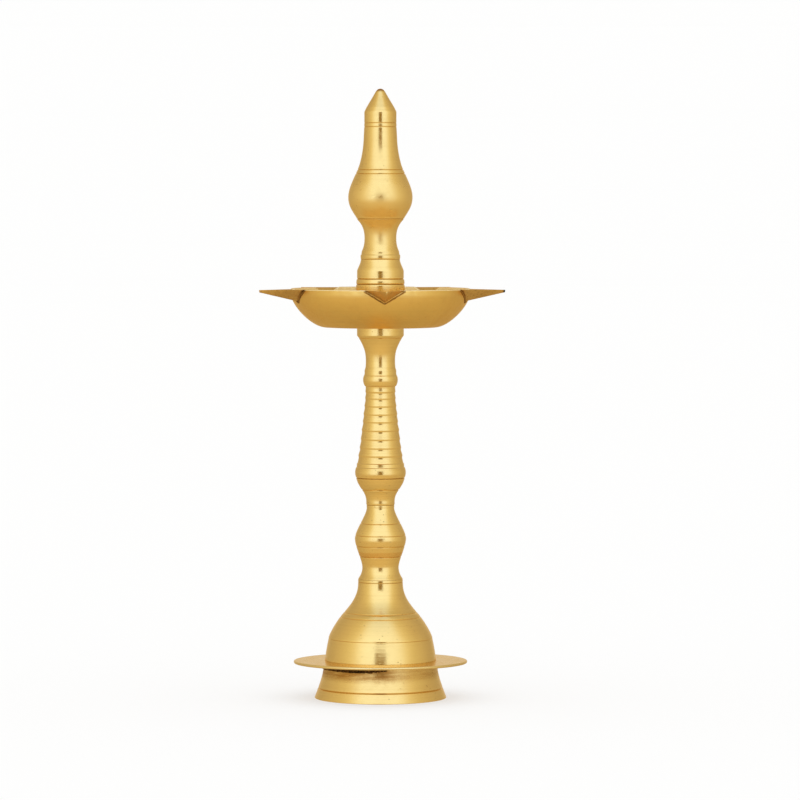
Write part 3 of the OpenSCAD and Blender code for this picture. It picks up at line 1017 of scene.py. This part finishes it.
class LAMP_OT_stage(bpy.types.Operator):
    """Sets the pale floor, the light tent and the camera."""
    bl_idname = "lamp.stage"
    bl_label = "Stage"

    def execute(self, context):
        st = context.scene.lamp_stage
        self.floor()
        self.tent(context, st.brightness, st.turn)
        self.camera(context, st)
        context.scene.view_settings.view_transform = "Standard"
        return {"FINISHED"}

    def floor(self):
        """A pale floor that curves up into a wall far from the lamp, and glows a little."""
        sweep = [(0.0, 0.0), (9000.0, 0.0)]
        sweep += bez((9000.0, 0.0), (12000.0, 0.0), (13000.0, 1500.0), (13000.0, 4500.0), 12)
        sweep.append((13000.0, 9000.0))
        floor = turned("stage_floor", sweep, steps=64, edge=0)
        edit_on(floor)
        bpy.ops.mesh.select_all(action="SELECT")
        bpy.ops.mesh.flip_normals()
        edit_off()
        m = bpy.data.materials.new("Pale floor")
        m.use_nodes = True
        nodes = m.node_tree.nodes
        matt = nodes.new("ShaderNodeBsdfDiffuse")
        matt.inputs["Color"].default_value = (0.95, 0.95, 0.94, 1)
        glow = nodes.new("ShaderNodeEmission")
        both = nodes.new("ShaderNodeMixShader")
        both.inputs[0].default_value = 0.55
        for i, shader in enumerate((matt, glow), 1):
            m.node_tree.links.new(shader.outputs[0], both.inputs[i])
        m.node_tree.links.new(both.outputs[0], nodes["Material Output"].inputs["Surface"])
        nodes.remove(nodes["Principled BSDF"])
        floor.data.materials.append(m)
        floor.visible_glossy = False
        floor.visible_diffuse = False
        floor.visible_shadow = False

    def camera(self, context, st):
        """A long lens that looks slightly down at the lamp, turned a little from the front beak."""
        cam = bpy.data.cameras.new("Camera")
        cam.lens = st.lens
        cam.sensor_width = 36.0
        cam.clip_end = 100.0
        eye = bpy.data.objects.new("Camera", cam)
        context.scene.collection.objects.link(eye)
        aside = Vector((math.cos(st.turn), -math.sin(st.turn), 0.0))
        back = Vector((-math.sin(st.turn), -math.cos(st.turn), 0.0))
        look = aside * LOOK_ASIDE + Vector((0.0, 0.0, LOOK_HEIGHT))
        spot = look + back * st.distance + Vector((0.0, 0.0, CAMERA_RISE))
        eye.location = spot
        eye.rotation_euler = (look - spot).to_track_quat("-Z", "Y").to_euler()
        context.scene.camera = eye

    def tent(self, context, strength, turn):
        """A light tent: bright above and to the front, dim below, with a gap at the front."""
        w = bpy.data.worlds.new("Tent")
        context.scene.world = w
        w.use_nodes = True
        t = w.node_tree
        t.nodes.clear()
        co = t.nodes.new("ShaderNodeTexCoord").outputs["Generated"]
        facing = t.nodes.new("ShaderNodeMapping")
        facing.inputs["Rotation"].default_value = (0.0, 0.0, turn)
        t.links.new(co, facing.inputs["Vector"])
        x, y, z = axes(t, facing.outputs[0])
        az = maths(t, "DEGREES", maths(t, "ARCTAN2", maths(t, "ABSOLUTE", x),
                                       maths(t, "MULTIPLY", y, -1.0)))
        el = maths(t, "DEGREES", maths(t, "ARCSINE", z))
        around = maths(t, "DIVIDE", az, 180.0)
        level = mixed(t, mapped(t, el, *HORIZON), ramp(t, around, LOWER_LIGHT),
                      ramp(t, around, UPPER_LIGHT))
        across = mapped(t, az, *GAP_SIDE, 1.0, 0.0)
        upright = maths(t, "MULTIPLY", mapped(t, el, *GAP_FOOT), mapped(t, el, *GAP_HEAD, 1.0, 0.0))
        light = mixed(t, maths(t, "MULTIPLY", across, upright), level, part_of_peak(GAP_LIGHT))
        shade = maths(t, "MULTIPLY", mapped(t, el, -80.0, -35.0, 0.82, 1.0),
                      mapped(t, x, 0.3, 0.95, 1.0, 0.96))
        top = mapped(t, el, 40.0, 90.0, 1.0, 0.62)
        tent = t.nodes.new("ShaderNodeBackground")
        t.links.new(light, tent.inputs["Color"])
        t.links.new(maths(t, "MULTIPLY", maths(t, "MULTIPLY", shade, top), strength * PEAK),
                    tent.inputs["Strength"])
        plain = t.nodes.new("ShaderNodeBackground")
        plain.inputs["Strength"].default_value = PLAIN_LIGHT
        path = t.nodes.new("ShaderNodeLightPath")
        mix = t.nodes.new("ShaderNodeMixShader")
        t.links.new(path.outputs["Is Glossy Ray"], mix.inputs[0])
        t.links.new(plain.outputs[0], mix.inputs[1])
        t.links.new(tent.outputs[0], mix.inputs[2])
        out = t.nodes.new("ShaderNodeOutputWorld")
        t.links.new(mix.outputs[0], out.inputs[0])


STEPS = (LAMP_OT_finishes, LAMP_OT_foot, LAMP_OT_stem, LAMP_OT_bowl, LAMP_OT_beaks, LAMP_OT_top,
         LAMP_OT_studs, LAMP_OT_stage)


class LAMP_PT_panel(bpy.types.Panel):
    """Lists the steps that build the lamp."""
    bl_idname = "LAMP_PT_panel"
    bl_label = "Oil Lamp"
    bl_space_type = "VIEW_3D"
    bl_region_type = "UI"
    bl_category = "Oil Lamp"

    def draw(self, context):
        for group in (context.scene.lamp_sizes, context.scene.lamp_finishes,
                      context.scene.lamp_stage):
            box = self.layout.box()
            for key in group.__annotations__:
                box.prop(group, key)
        for step in STEPS:
            self.layout.operator(step.bl_idname)


CLASSES = (LampSizes, LampFinishes, LampStage, *STEPS, LAMP_PT_panel)


def register():
    for c in CLASSES:
        bpy.utils.register_class(c)
    bpy.types.Scene.lamp_sizes = bpy.props.PointerProperty(type=LampSizes)
    bpy.types.Scene.lamp_finishes = bpy.props.PointerProperty(type=LampFinishes)
    bpy.types.Scene.lamp_stage = bpy.props.PointerProperty(type=LampStage)


def unregister():
    for key in ("lamp_sizes", "lamp_finishes", "lamp_stage"):
        delattr(bpy.types.Scene, key)
    for c in reversed(CLASSES):
        bpy.utils.unregister_class(c)


def main():
    register()
    bpy.ops.lamp.finishes()
    bpy.ops.lamp.foot()
    bpy.ops.lamp.stem()
    bpy.ops.lamp.bowl()
    bpy.ops.lamp.beaks()
    bpy.ops.lamp.top()
    bpy.ops.lamp.studs()
    bpy.ops.lamp.stage()


if __name__ == "__main__":
    main()
